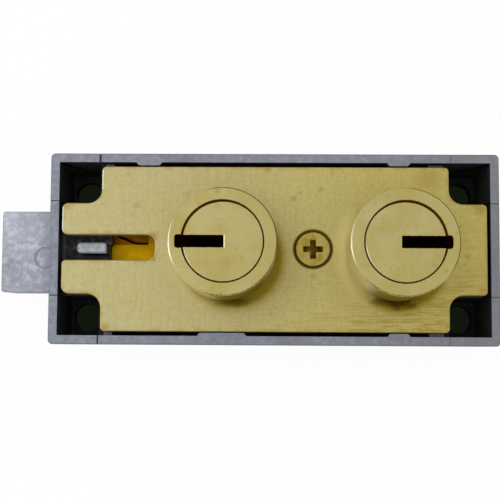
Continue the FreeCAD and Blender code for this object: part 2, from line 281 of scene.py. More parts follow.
class Book:
    def __init__(self, name):
        self.material = bpy.data.materials.new(name)
        self.material.use_nodes = True
        self.tree = self.material.node_tree
        self.tree.nodes.clear()

    def node(self, kind, settings, inputs, output=0):
        made = self.tree.nodes.new(kind)
        for key, value in settings.items():
            setattr(made, key, value)
        for key, value in inputs.items():
            socket = made.inputs[key]
            if isinstance(value, Signal):
                self.tree.links.new(value.socket, socket)
            else:
                socket.default_value = (*value, 1) if socket.type == "RGBA" else value
        return Signal(self, made.outputs[output]) if len(made.outputs) else None

    def point(self):
        # Object coordinates in millimetres
        place = self.node("ShaderNodeTexCoord", {}, {}, "Object")
        return self.stretch(place, (1000, 1000, 1000))

    def vectors(self, operation, first, second, output=0):
        return self.node("ShaderNodeVectorMath", {"operation": operation}, {0: first, 1: second}, output)

    def stretch(self, vector, factors):
        return self.vectors("MULTIPLY", vector, factors)

    def shift(self, vector, offset):
        return self.vectors("ADD", vector, offset)

    def distance(self, vector, spot):
        return self.vectors("DISTANCE", vector, spot, "Value")

    def parts(self, vector):
        made = self.node("ShaderNodeSeparateXYZ", {}, {0: vector})
        return [Signal(self, made.socket.node.outputs[i]) for i in range(3)]

    def noise(self, vector, scale, detail, roughness):
        texture = {"Vector": vector, "Scale": scale, "Detail": detail, "Roughness": roughness}
        return self.node("ShaderNodeTexNoise", {}, texture)

    def mix(self, factor, first, second):
        return self.node("ShaderNodeMix", {"data_type": "RGBA"}, {0: factor, 6: first, 7: second}, 2)

    def bump(self, height, strength, distance, below=None):
        inputs = {"Height": height, "Strength": strength, "Distance": distance * mm}
        if below is not None:
            inputs["Normal"] = below
        return self.node("ShaderNodeBump", {}, inputs)

    def surface(self, colour, metal, rough, relief, shine=0.5, tint=(1, 1, 1)):
        shader = self.node("ShaderNodeBsdfPrincipled", {}, {
            "Base Color": colour, "Metallic": metal, "Roughness": rough, "Normal": relief,
            "Specular IOR Level": shine, "Specular Tint": tint,
        })
        self.node("ShaderNodeOutputMaterial", {}, {"Surface": shader})
        return self.material


def spots(book, place, colour, marks, height, speck, stain):
    # Small stains with soft, uneven edges
    for x, y, radius, strength in marks:
        away = book.distance(place, (x, y, height)) + speck * radius * 1.2
        colour = book.mix(away.fade(radius * 0.6, radius * 1.7, strength), colour, stain)
    return colour


def towards(across, y, direction, radius):
    # 1 at that radius on the side that the direction points to, and -1 opposite
    directionX, directionY = direction
    return (across * directionX + y * directionY) * (1 / radius)


# Case, a zinc die casting

case = {
    "halfLength": 54.0, "halfWidth": 23.1, "depth": 19.0, "wall": 2.15, "floor": 2.5, "draft": 0.4,
    "worksHalfLength": 41.0, "channel": (-10.6, 10.3), "pocketX": 42.3, "pocketY": 11.3,
    "plateBottom": 16.3, "holeX": 47.625, "holeY": 15.875, "holeRadius": 3.5,
    "window": (-10.6, 10.0, 2.9, 14.6),  # sides, bottom, top
    "cornerRadius": 1.1, "rimEdge": 0.25, "edge": 0.12,
    "plugBore": (5.57, 1.3, 4.0), "postBore": (1.5, 1.3, 8.0),  # radius, bottom, top
    "screwPillar": 4.0, "postPillar": (3.4, 5.18),  # radius, and the top of the lower one
    "bite": 0.2,  # how far ribs run into floor and walls
    "ribTop": 9.4,
    "ribs": [(-28.0, 22.0, -15.4, -13.4), (-28.0, 14.0, 15.4, 17.4), (-39.0, -36.0, 11.6, 21.15)],
    "ledge": 2.0, "ledgeEnds": (-39.0, 37.5),
    "pads": [(1, -33.4, -27.0), (1, 27.1, 32.9), (-1, -18.4, -6.4), (-1, 27.0, 32.7)],  # side, ends
    "padProud": 0.75, "padSlope": 0.6, "padCorner": 0.4,
    "seamsAcross": [(1, -42.0, 0.46), (-1, -42.05, 0.34), (1, 42.5, 0.12), (-1, 41.9, 0.12)],
    "seamsAlong": [(-1, 11.47, 0.22), (-1, -11.37, 0.24), (1, 11.15, 0.20), (1, -11.41, 0.14)],
    "seamDepths": (0.5, 0.35), "seamOvershoot": 0.5,
    "ejectors": [(-30, 12), (-30, -12), (0, 13), (0, -13), (32, 12), (32, -12)],
    "ejectorRadius": 2.4, "ejectorDepth": 0.12,
    "mottle": 0.75, "plain": (0.208, 0.215, 0.260), "pale": (0.292, 0.305, 0.362),
    "dull": (0.135, 0.138, 0.165), "tint": (0.215, 0.255, 0.300),
    "rightShade": (0.170, 0.165, 0.175), "seam": (0.045, 0.047, 0.060),
    "well": (0.0240, 0.0240, 0.0225), "wellPale": (0.0480, 0.0500, 0.0530),
    "wellDark": (0.0080, 0.0080, 0.0080),
}


def castZinc(name, tones, shadeAndMarks):
    book = Book(name)
    place = book.point()
    blotch = book.noise(place, 0.16, 4, 0.6)
    mottle = book.noise(place, tones["mottle"], 5, 0.68)
    cool = book.noise(book.shift(place, (9, 4, 2)), 0.5, 3, 0.5)
    grain = book.noise(place, 4.5, 3, 0.6)
    colour = book.mix(mottle.ramp(0.42, 0.64), tones["plain"], tones["pale"])
    colour = book.mix(blotch.ramp(0.50, 0.72) * 0.6, colour, tones["dull"])
    colour = book.mix(cool.ramp(0.45, 0.65) * 0.4, colour, tones["tint"])
    colour = book.mix(grain.ramp(0.30, 0.75) * 0.35, colour, tones["dull"])
    colour = shadeAndMarks(book, place, colour)
    rough = mottle.ramp(0.3, 0.7, 0.46, 0.62)
    relief = book.bump(mottle, 0.35, 0.10)
    relief = book.bump(grain, 0.45, 0.035, relief)
    return book.surface(colour, 0.25, rough, relief, 0.25)


def rimShadeAndSeams(book, place, colour):
    # Painted shade: the rim is darker towards the right and the bottom, along its outer edge and on the
    # outer walls; its casting seams are dark.
    x, y, z = book.parts(place)
    inFromEdge = (case["halfLength"] - abs(x)).least(case["halfWidth"] - abs(y))
    below = (case["depth"] - 0.2 - z).ramp(0.0, 0.12)
    colour = book.mix(x.ramp(10, 54) * 0.55, colour, case["rightShade"])
    colour = book.mix(y.ramp(-12, -23) * 0.16, colour, case["dull"])
    colour = book.mix(inFromEdge.fade(0.05, 0.45, 0.85).most(below * 0.6), colour, case["dull"])
    seam = below * inFromEdge.ramp(0.12, 0.20) * (z - 17).ramp(0.0, 0.3)
    return book.mix(seam, colour, case["seam"])


def shadedWell():
    # Inside, the casting is painted dark as shade, darkest under the rim.
    book = Book("shadedWell")
    place = book.point()
    patch = book.noise(place, 0.5, 4, 0.6)
    colour = book.mix(patch.ramp(0.4, 0.7), case["well"], case["wellPale"])
    height = book.parts(place)[2]
    colour = book.mix(height.ramp(7, 16) * 0.45, colour, case["wellDark"])
    rough = patch.ramp(0.3, 0.7, 0.55, 0.75)
    relief = book.bump(patch, 0.3, 0.05)
    return book.surface(colour, 0.0, rough, relief, 0.05)


def inWell(middle):
    # Faces painted with shade: inside the walls and under the rim, apart from the ledges' tops, which the
    # plate rubs bright
    c = case
    innerX, innerY = c["halfLength"] - c["wall"], c["halfWidth"] - c["wall"]
    within = abs(middle.x) < innerX + 0.03 and abs(middle.y) < innerY + 0.03
    ledgeTop = abs(middle.z - c["plateBottom"]) < 0.2 and abs(middle.y) > innerY - c["ledge"]
    return within and 0.2 < middle.z < c["depth"] - 0.15 and not ledgeTop


def buildCase():
    c = case
    length, width, depth = c["halfLength"], c["halfWidth"], c["depth"]
    innerX, innerY = length - c["wall"], width - c["wall"]
    body = addBlock("caseCasting", -length, length, -width, width, 0, depth)
    scaleFaces(body, facingDown, (1 - c["draft"] / length, 1 - c["draft"] / width, 1), (0, 0, 0))
    bevelWhere(body, standing, c["cornerRadius"], 6)
    bevelWhere(body, levelAt(depth), c["rimEdge"], 3)
    works, floor, top = c["worksHalfLength"], c["floor"], depth + 1
    cutters = [
        addBlock("cutter", -innerX, innerX, -innerY, innerY, c["plateBottom"], top),
        addBlock("cutter", -works, works, -innerY, innerY, floor, top),
        addBlock("cutter", -innerX, innerX, *c["channel"], floor, top),
    ]
    for sideX in (-1, 1):
        for sideY in (-1, 1):
            x0, x1 = sorted((sideX * c["pocketX"], sideX * innerX))
            y0, y1 = sorted((sideY * c["pocketY"], sideY * innerY))
            cutters.append(addBlock("cutter", x0, x1, y0, y1, floor, top))
            holeX, holeY = sideX * c["holeX"], sideY * c["holeY"]
            cutters.append(addRod("cutter", holeX, holeY, c["holeRadius"], -1, floor + 2.5, 64))
    cutters.append(addBlock("cutter", -length - 1, -innerX + 0.01, *c["window"]))
    for station in (guard, renter):
        cutters.append(addRod("cutter", station["x"], 0, *c["plugBore"], 64))
    cut(body, *cutters)
    add(body, *caseRibs(innerY))
    cut(body, addRod("cutter", screw["x"], 0, screw["shank"], screw["bottom"], top, 48))
    for station in (guard, renter):
        cut(body, addRod("cutter", station["pivot"], 0, *c["postBore"], 48))
    softenEdges(body, c["edge"], 2)
    cut(body, *castingMarks(innerX, innerY))
    finishPiece(body, "case", castZinc("castZincCase", c, rimShadeAndSeams), "case")
    giveFaces(body, shadedWell(), inWell)
    print("case built")


def castingMarks(innerX, innerY):
    # Cutters for the seams across the rim and for the round ejector marks in the back
    c = case
    length, width, depth, over = c["halfLength"], c["halfWidth"], c["depth"], c["seamOvershoot"]
    deep, shallow = c["seamDepths"]
    marks = []
    for side, x, breadth in c["seamsAcross"]:
        y0, y1 = sorted((side * (innerY - over), side * (width + over)))
        marks.append(addBlock("cutter", x - breadth / 2, x + breadth / 2, y0, y1, depth - deep, depth + 1))
    for side, y, breadth in c["seamsAlong"]:
        x0, x1 = sorted((side * (innerX - over), side * (length + over)))
        lower, upper = y - breadth / 2, y + breadth / 2
        marks.append(addBlock("cutter", x0, x1, lower, upper, depth - shallow, depth + 1))
    for x, y in c["ejectors"]:
        marks.append(addRod("cutter", x, y, c["ejectorRadius"], -1, c["ejectorDepth"], 48))
    return marks


def caseRibs(innerY):
    c = case
    works, under, bite = c["worksHalfLength"], c["floor"] - c["bite"], c["bite"]
    postRadius, postTop = c["postPillar"]
    ribs = [
        addRod("rib", screw["x"], 0, c["screwPillar"], under, c["plateBottom"], 64),
        addRod("rib", guard["pivot"], 0, postRadius, under, postTop, 64),
    ]
    for side in (-1, 1):
        for x0, x1 in ((-works - bite, c["ledgeEnds"][0]), (c["ledgeEnds"][1], works + bite)):
            y0, y1 = sorted((side * (innerY + bite), side * (innerY - c["ledge"])))
            ribs.append(addBlock("rib", x0, x1, y0, y1, under, c["plateBottom"]))
    for side, x0, x1 in c["pads"]:
        y0, y1 = sorted((side * (innerY + bite), side * (innerY - c["padProud"])))
        pad = addBlock("rib", x0, x1, y0, y1, under, c["depth"])
        narrow = 1 - 2 * c["padSlope"] / (x1 - x0)
        scaleFaces(pad, lambda n: n.y * side < -0.9, (narrow, 1, 1), ((x0 + x1) / 2, 0, 0))
        bevelWhere(pad, lambda a, b: standing(a, b) and max(abs(a.y), abs(b.y)) < innerY, c["padCorner"], 3)
        ribs.append(pad)
    for x0, x1, y0, y1 in c["ribs"]:
        ribs.append(addBlock("rib", x0, x1, y0, y1, under, c["ribTop"]))
    return ribs


# Key stations: guard on the bolt's side, renter on the other. Each direction is a unit vector on the plate:
# where oil and dust with painted shadow lie at the nose's foot, where the joint is thick, which edge is
# painted dark as shade, which side of the wall is painted dark with oil, dust and shade, and which side is
# painted pale as light.

guard = {
    "name": "guard", "x": -11.8, "out": -1, "pivot": -0.5, "levers": 3,
    "keywayStart": 0.25, "notchReach": 10.9, "endShine": 0.9, "shine": 0.8,
    "lower": (0.64, -0.77), "thick": (-0.60, 0.80), "behind": (0.72, 0.69), "dirtAndShadeSide": (0.37, -0.93),
    "pale": (-0.71, -0.71), "paleSide": 0.45, "litPale": 0.15, "dirtAndShade": 0.80, "spread": (14.2, 12.8),
}
renter = {
    "name": "renter", "x": 29.5, "out": 1, "pivot": 18.2, "levers": 5,
    "keywayStart": 0.95, "notchReach": 10.6, "endShine": 0.1, "shine": 0.45,
    "lower": (0.02, -1.00), "thick": (0.60, 0.80), "behind": (0.90, 0.44), "dirtAndShadeSide": (-0.04, -1.00),
    "pale": (-0.97, -0.26), "paleSide": 0.75, "litPale": 0.45, "dirtAndShade": 0.75, "spread": (13.6, 12.8),
}

# Cover plate, blanked brass

brassTint = (1.0, 0.90, 0.42)  # of the sheen on brass

plate = {
    "bottom": 16.3, "top": 18.9, "bodyX": 42.0, "bodyLeft": -41.55, "bodyY": 19.95,
    "tabX": 51.1, "tabY": 11.0, "slotX": -28.65, "slotTop": 3.3, "slotBottom": -2.8,
    "roll": 0.30, "burr": 0.08, "fillet": 3.4,
    "corners": [
        (-41.55, 19.95, 1.1), (42.0, 19.95, 1.1), (42.0, -19.95, 1.1), (-41.55, -19.95, 1.1),
        (42.0, 11.0, 3.4), (42.0, -11.0, 3.4), (-41.55, 11.0, 3.4), (-41.55, -11.0, 3.4),
        (51.1, 11.0, 1.1), (51.1, -11.0, 1.1), (-51.1, 11.0, 1.4), (-51.1, -11.0, 2.0),
        (-51.1, 3.3, 1.4), (-51.1, -2.8, 1.1), (-28.65, 3.3, 2.2), (-28.65, -2.8, 2.2),
    ],
    "left": (0.482, 0.430, 0.224), "right": (0.496, 0.424, 0.134), "lit": (0.70, 0.70, 0.60),
    "stain": (0.33, 0.205, 0.030), "dark": (0.25, 0.19, 0.045),
    "grimeAndShade": (0.300, 0.205, 0.006),
    "contactShade": (0.185, 0.130, 0.0005), "patch": (0.050, 0.021, 0.0002),
    "litPale": (0.74, 0.66, 0.32), "litPaleRing": (12.8, 16.5),
    "litBand": 0.4, "litFrom": (3.8, 14.3),  # on the tab's end and on the body's
    "dirtAndShadeLayers": [  # tone, offset, start, strength, unevenness
        ("grimeAndShade", 2.8, 11.4, 0.85, 1.0), ("contactShade", 2.5, 11.3, 0.95, 0.6),
    ],
    "patches": [  # x, y, half length, half breadth, strength
        (28.6, -12.3, 6.0, 2.3, 0.95), (-9.4, -12.7, 4.6, 1.3, 0.75),
    ],
    "marks": [  # x, y, radius, strength
        (-34.3, -12.9, 0.45, 0.5), (11.2, 14.5, 1.0, 0.55), (4.7, 12.2, 0.9, 0.5), (6.4, 13.7, 0.6, 0.35),
        (27.0, 13.9, 0.8, 0.55), (37.2, 17.4, 5.0, 0.45), (49.6, 9.7, 2.2, 0.65), (49.9, -9.9, 1.6, 0.45),
        (-40.3, -19.0, 1.6, 0.6), (-50.0, 10.2, 1.4, 0.6), (-33.0, 10.4, 1.3, 0.35),
        (-20.7, 13.2, 1.1, 0.30), (-1.5, 19.4, 1.3, 0.70), (9.5, -6.6, 0.9, 0.45),
        (46.3, -1.6, 0.9, 0.45), (14.0, 18.6, 0.8, 0.40),
    ],
}


def plateInset(x, y):
    # Distance from a point of the plate to its nearest edge, in millimetres
    p = plate
    body = (p["bodyX"] - x).least(x - p["bodyLeft"]).least(p["bodyY"] - abs(y))
    tabs = (p["tabX"] - abs(x)).least(p["tabY"] - abs(y))
    slotMiddle, slotHalf = (p["slotTop"] + p["slotBottom"]) / 2, (p["slotTop"] - p["slotBottom"]) / 2
    slot = (x - p["slotX"]).most(abs(y - slotMiddle) - slotHalf)
    middle, half = (p["bodyX"] + p["bodyLeft"]) / 2, (p["bodyX"] - p["bodyLeft"]) / 2
    acrossX = half + p["fillet"] - abs(x - middle)
    acrossY = p["tabY"] + p["fillet"] - abs(y)
    away = (acrossX * acrossX + acrossY * acrossY).maths("SQRT")
    fillet = (away - p["fillet"]).least(acrossX).least(acrossY)
    return body.most(tabs).most(fillet).least(slot)


def brushedBrass(name):
    book = Book(name)
    place = book.point()
    x, y = book.parts(place)[:2]
    brushing = book.noise(book.stretch(place, (3.2, 0.10, 0.5)), 1.0, 4, 0.7)
    fine = book.noise(book.stretch(place, (9.0, 0.22, 1.0)), 1.0, 3, 0.7)
    across = book.noise(book.stretch(place, (0.14, 5.2, 0.5)), 1.0, 4, 0.7)
    strokes = book.noise(book.stretch(place, (0.16, 2.6, 0.5)), 1.0, 4, 0.6)
    grain = book.noise(place, 2.2, 3, 0.6)
    cloud = book.noise(place, 0.07, 3, 0.6)
    speck = book.noise(place, 0.42, 4, 0.65)
    freckle = book.noise(book.shift(place, (31, 7, 3)), 1.4, 3, 0.6)
    # Paler and less yellow towards the left: a painted sheen from the light on that side.
    colour = book.mix(x.ramp(-46, 44), plate["left"], plate["right"])
    colour = book.mix(cloud.ramp(0.45, 0.70) * 0.3, colour, plate["right"])
    colour = book.mix(speck.ramp(0.60, 0.76) * 0.35, colour, plate["stain"])
    colour = book.mix(freckle.ramp(0.66, 0.78) * 0.3, colour, plate["dark"])
    colour = book.mix(brushing.ramp(0.38, 0.72) * 0.16, colour, plate["dark"])
    colour = book.mix(grain.ramp(0.40, 0.70) * 0.25, colour, plate["dark"])
    # Fine scratches run along the lower right half, and rust-coloured strokes its lower corner.
    scratched = across.ramp(0.46, 0.62) * (x - y * 1.4).ramp(-8, 42)
    colour = book.mix(scratched * 0.26, colour, plate["dark"])
    stroked = strokes.ramp(0.48, 0.62) * (x - y * 3.0).ramp(48, 84)
    colour = book.mix(stroked * 0.75, colour, plate["stain"])
    colour = spots(book, place, colour, plate["marks"], plate["top"], speck, plate["stain"])
    colour = plateDirtAndShade(book, place, colour, cloud, speck, across)
    colour = plateEdges(book, place, colour)
    rough = fine.ramp(0.3, 0.7, 0.44, 0.58) + speck.ramp(0.55, 0.75) * 0.1
    relief = book.bump(brushing, 0.25, 0.016)
    relief = book.bump(fine, 0.30, 0.010, relief)
    relief = book.bump(scratched, 0.40, 0.014, relief)
    return book.surface(colour, 0.65, rough, relief, 0.15, brassTint)


def plateDirtAndShade(book, place, colour, cloud, speck, across):
    # Oil and dust with painted shadow gather at the foot of each nose, on its lower side, with a tight
    # painted contact shadow. Beside it the plate is painted pale as light.
    x, y = book.parts(place)[:2]
    uneven = (cloud + speck - 1.0) * 1.5
    for station in (guard, renter):
        leanX, leanY = station["lower"]
        for layer, end in zip(plate["dirtAndShadeLayers"], station["spread"]):
            tone, offset, start, strength, share = layer
            centre = (station["x"] + leanX * offset, leanY * offset, plate["top"])
            away = book.distance(place, centre) + uneven * share
            colour = book.mix(away.fade(start, end, strength * station["dirtAndShade"]), colour, plate[tone])
        # Painted light: a pale halo on the plate on each nose's pale side.
        paleSide = towards(x - station["x"], y, station["pale"], nose["radius"]).ramp(0.45, 1.0)
        beside = book.distance(place, (station["x"], 0, plate["top"])).fade(*plate["litPaleRing"])
        colour = book.mix(beside * paleSide * station["litPale"], colour, plate["litPale"])
    # Darker patches on the plate below the noses.
    for patchX, patchY, halfLength, halfBreadth, strength in plate["patches"]:
        centred = book.shift(place, (-patchX, -patchY, -plate["top"]))
        reach = book.stretch(centred, (1 / halfLength, 1 / halfBreadth, 0))
        away = book.distance(reach, (0, 0, 0)) + (cloud + speck + across - 1.5) * 1.2
        colour = book.mix(away.fade(0.25, 1.25, strength), colour, plate["patch"])
    return colour


def plateEdges(book, place, colour):
    # Stained and dark along the outline, with a painted highlight at two ends, grimy round the screw and
    # painted shade on the walls
    x, y, z = book.parts(place)
    inset = plateInset(x, y)
    patchy = book.noise(book.shift(place, (5, 11, 0)), 0.33, 3, 0.6).ramp(0.42, 0.62)
    colour = book.mix(inset.fade(0.2, 1.3, 0.45) * patchy, colour, plate["stain"])
    colour = book.mix(inset.fade(0.10, 0.36, 0.55), colour, plate["dark"])
    tabFrom, bodyFrom = plate["litFrom"]
    tabEnd = (plate["litBand"] - plate["tabX"] - x).ramp(0.0, 0.2) * (y > tabFrom)
    bodyEnd = (plate["litBand"] + plate["bodyLeft"] - x).ramp(0.0, 0.2) * (y > bodyFrom)
    colour = book.mix(tabEnd.most(bodyEnd) * 0.85, colour, plate["lit"])
    sink = book.distance(place, (screw["x"], 0, plate["top"]))
    rim = sink.fade(screw["sinkRadius"] + 0.03, screw["sinkRadius"] + 0.43, 0.9)
    colour = book.mix(rim, colour, screw["grimeAndShade"])
    belowTop = (plate["top"] - 0.35 - z).ramp(0.0, 0.2)
    return book.mix(belowTop * 0.8, colour, plate["dark"])


def buildPlate():
    p = plate
    z0, z1 = p["bottom"], p["top"]
    body = addBlock("coverPlate", p["bodyLeft"], p["bodyX"], -p["bodyY"], p["bodyY"], z0, z1)
    add(body, addBlock("tabs", -p["tabX"], p["tabX"], -p["tabY"], p["tabY"], z0, z1))
    cut(body, addBlock("cutter", -p["tabX"] - 1, p["slotX"], p["slotBottom"], p["slotTop"], z0 - 1, z1 + 1))
    onlySelect(body)
    bpy.ops.object.mode_set(mode="EDIT")
    bpy.ops.mesh.select_all(action="SELECT")
    bpy.ops.mesh.dissolve_limited(angle_limit=math.radians(1))
    bpy.ops.object.mode_set(mode="OBJECT")
    for x, y, radius in p["corners"]:
        bevelWhere(body, upright(x, y), radius, 9)
    bevelWhere(body, levelAt(z1), p["roll"], 4)
    bevelWhere(body, levelAt(z0), p["burr"], 1)
    for station in (guard, renter):
        cut(body, addRod("cutter", station["x"], 0, nose["spigot"], z0 - 1, z1 + 1, 160))
    bore, sinkTop = screw["shank"] + 0.1, screw["sinkRadius"] + 0.1
    sink = [(bore, z0 - 1), (bore, z1 - screw["headDepth"]), (sinkTop, z1 + 0.1)]
    cut(body, addTurned("cutter", screw["x"], sink, 96))
    finishPiece(body, "case", brushedBrass("brushedBrass"), "cover_plate")
    print("cover plate built")


# Noses and plugs, turned brass

nose = {
    "radius": 12.4, "spigot": 12.0, "spigotPlay": 0.03, "bore": 9.3, "boreEdge": 0.15, "face": 31.6,
    "chamfer": 0.30, "edge": 0.06, "notchWidth": 3.1, "notchEnd": 0.65, "hollowEnd": 11.3,
    "shineBand": 0.26, "outlineBand": 0.34, "edgeDepth": 0.35, "glintSide": (-0.93, -0.37),
    "lit": (0.85, 0.83, 0.68), "face1": (0.470, 0.412, 0.185), "face2": (0.420, 0.356, 0.122),
    "stain": (0.34, 0.225, 0.045), "side": (0.360, 0.300, 0.095),
    "sidePale": (0.72, 0.66, 0.36), "outline": (0.13, 0.085, 0.006),
    "grimeAndShade": (0.130, 0.092, 0.0005),
    "gap": (0.075, 0.032, 0.0005), "hollow": (0.0100, 0.0012, 0.0005),
    "depths": (0.110, 0.004, 0.001),
    "marks": [  # x, y, radius, strength
        (-13.1, 11.4, 1.0, 0.6), (-13.0, 8.0, 1.0, 0.35), (-11.0, -4.6, 1.6, 0.30), (-17.3, 8.6, 0.7, 0.4),
        (36.0, -5.2, 0.8, 0.45), (38.6, -6.4, 0.7, 0.5), (25.4, 10.4, 0.9, 0.4),
    ],
    "nicks": [(-12.3, -12.05, 20, 1.3), (-13.1, 12.1, 84, 0.6)],  # x, y, turn, length
    "nickHalf": (0.09, 0.3),  # half breadth and half depth
}
plug = {
    "radius": 9.22, "flange": 11.2, "flangeBottom": 12.8, "flangeTop": 16.1, "shank": 5.5,
    "bottom": 1.3, "keyway": 2.8, "keywayBottom": 2.6, "chamfer": 0.15, "edge": 0.06, "keywayBevel": 0.28,
    "driverSeat": (23.15, -6.35, 2.0),  # x, y, radius
}


def turnedBrass(name, station):
    book = Book(name)
    place = book.point()
    x, y, z = book.parts(place)
    across = x - station["x"]
    fromAxis = book.stretch(book.shift(place, (-station["x"], 0, 0)), (1, 1, 0))
    radius = book.distance(fromAxis, (0, 0, 0))
    rings = book.node("ShaderNodeCombineXYZ", {}, {0: radius * 7.0, 1: z * 7.0, 2: 0.0})
    ringNoise = book.noise(rings, 1.0, 3, 0.6)
    cloud = book.noise(place, 0.12, 3, 0.6)
    speck = book.noise(book.shift(place, (17, 3, 0)), 0.55, 4, 0.65)
    grain = book.noise(place, 3.2, 3, 0.6)
    colour = book.mix(cloud.ramp(0.38, 0.66), nose["face1"], nose["face2"])
    colour = book.mix(across.ramp(-14, 16) * 0.4, colour, nose["face2"])
    colour = book.mix(speck.ramp(0.58, 0.78) * 0.45, colour, nose["stain"])
    colour = book.mix(grain.ramp(0.42, 0.72) * 0.26, colour, nose["stain"])
    colour = spots(book, place, colour, nose["marks"], nose["face"], speck, nose["stain"])
    # The wall is painted duller than the face as shade, with one side painted pale as light and one painted
    # dark with oil, dust and shade.
    lowered = (nose["face"] - 0.4 - z).ramp(0.0, 0.3)
    colour = book.mix(lowered * 0.7, colour, nose["side"])
    pale = towards(across, y, station["pale"], nose["radius"]).ramp(0.30, 0.85) * station["paleSide"]
    colour = book.mix(lowered * pale, colour, nose["sidePale"])
    down = towards(across, y, station["dirtAndShadeSide"], nose["radius"])
    grimeAndShade = lowered * down.ramp(0.72, 0.95) * 0.95
    colour = book.mix(grimeAndShade, colour, nose["grimeAndShade"])
    colour = noseEdges(book, colour, station, (across, y, z), radius, grain)
    colour = jointAndKeyway(book, colour, station, (across, y, z), radius, grain)
    rough = ringNoise.ramp(0.3, 0.7, 0.38, 0.50) + speck.ramp(0.55, 0.75) * 0.1 + grimeAndShade * 0.4
    relief = book.bump(ringNoise, 0.30, 0.012)
    relief = book.bump(speck, 0.20, 0.02, relief)
    return book.surface(colour, (1 - grimeAndShade) * 0.65, rough, relief, 0.1, brassTint)


def noseEdges(book, colour, station, spot, radius, grain):
    # Painted highlight on the outer edge where it faces the bolt, painted shade on the edge behind, and a
    # ragged dark edge below from dust and painted shade.
    across, y, z = spot
    atTop = (z - nose["face"] + nose["edgeDepth"]).ramp(0.0, 0.05)
    facing = towards(across, y, (-1, 0), nose["radius"]).ramp(0.88, 0.99)
    shine = (radius - nose["radius"] + nose["shineBand"]).ramp(0.0, 0.08) * atTop
    colour = book.mix(shine * facing * station["shine"], colour, nose["lit"])
    behind = towards(across, y, station["behind"], nose["radius"]).ramp(0.30, 0.70)
    raggedShade = towards(across, y, station["dirtAndShadeSide"], nose["radius"]).ramp(0.55, 0.85) * grain.ramp(0.38, 0.56)
    outline = (radius - nose["radius"] + nose["outlineBand"]).ramp(0.0, 0.08) * atTop
    colour = book.mix(outline * behind.most(raggedShade) * 0.85, colour, nose["outline"])
    # A painted glint on the plug's edge, on the same side.
    glint = towards(across, y, nose["glintSide"], plug["radius"]).ramp(0.90, 0.97)
    plugEdge = (radius - plug["radius"] + 0.42).ramp(0.0, 0.06)
    plugEdge = plugEdge * (plug["radius"] - 0.14 - radius).ramp(0.0, 0.06)
    return book.mix(plugEdge * glint * grain.ramp(0.35, 0.6) * 0.8, colour, nose["lit"])


def jointAndKeyway(book, colour, station, spot, radius, grain):
    across, y, z = spot
    # Oil fills the joint between plug and nose, wider on one side.
    joint = abs(radius - (plug["radius"] + nose["bore"]) / 2)
    thick = towards(across, y, station["thick"], nose["bore"])
    breadth = grain * 0.28 + 0.03 + thick.ramp(-0.1, 1.0) * 0.17
    gap = (joint - breadth).fade(-0.03, 0.05) * (z - plate["bottom"]).ramp(0.0, 0.5)
    colour = book.mix(gap, colour, nose["gap"])
    # The key's way is painted black as shade, with ragged edges.
    face, bevel, reach = nose["face"], plug["keywayBevel"], station["notchReach"]
    half, end = plug["keyway"] / 2, nose["notchEnd"]
    outward = across * station["out"] + station["keywayStart"]
    within = (outward - bevel).ramp(0.0, 0.05) * (nose["hollowEnd"] - radius).ramp(0.0, 0.1)
    deep = (nose["notchWidth"] / 2 + 0.03 - abs(y)).ramp(0.0, 0.04) * (face - 0.14 - z).ramp(0.0, 0.06)
    narrowed = (radius - reach + end).ramp(0.0, end + 0.05) * 0.6
    ragged = (half + grain * 0.30 - 0.10 - narrowed - abs(y)).ramp(0.0, 0.06)
    ragged = ragged * (reach + 0.05 - radius).ramp(0.0, 0.05)
    colour = book.mix(deep.most(ragged) * within, colour, nose["hollow"])
    # Its depths are painted dark red-brown as shade.
    colour = book.mix(deep * within * (face - 2.0 - z).ramp(0.0, 2.0), colour, nose["depths"])
    # A painted highlight on the keyway's inner end.
    innerEnd = (abs(outward) - bevel).fade(-0.02, 0.02) * (half - abs(y)).ramp(0.0, 0.05)
    return book.mix(innerEnd * station["endShine"], colour, nose["lit"])


def buildNose(station, material):
    n = nose
    x, bottom, seat, face = station["x"], plate["bottom"], plate["top"], n["face"]
    spigot = n["spigot"] - n["spigotPlay"]
    profile = [
        (n["bore"], bottom), (spigot, bottom), (spigot, seat),
        (n["radius"], seat), (n["radius"], face - n["chamfer"]), (n["radius"] - n["chamfer"], face),
        (n["bore"] + n["boreEdge"], face), (n["bore"], face - n["boreEdge"]),
    ]
    body = addTurned(station["name"] + "NoseRing", x, profile, 176, closed=True)
    half = n["notchWidth"] / 2
    endX = x + station["out"] * station["notchReach"]
    notch = addBlock("cutter", min(x, endX), max(x, endX), -half, half, bottom - 1, face + 1)
    for y in (-half, half):
        bevelWhere(notch, upright(endX, y), n["notchEnd"], 6)
    cut(body, notch)
    if station is guard:
        halfBreadth, halfDepth = n["nickHalf"]
        for nickX, nickY, turn, length in n["nicks"]:
            half = length / 2
            nick = addBlock("cutter", -half, half, -halfBreadth, halfBreadth, -halfDepth, halfDepth)
            nick.location = Vector((nickX, nickY, face)) * mm
            nick.rotation_euler.z = math.radians(turn)
            cut(body, settle(nick))
    softenEdges(body, n["edge"], 2, 40)
    finishPiece(body, "case", material, station["name"] + "_nose")


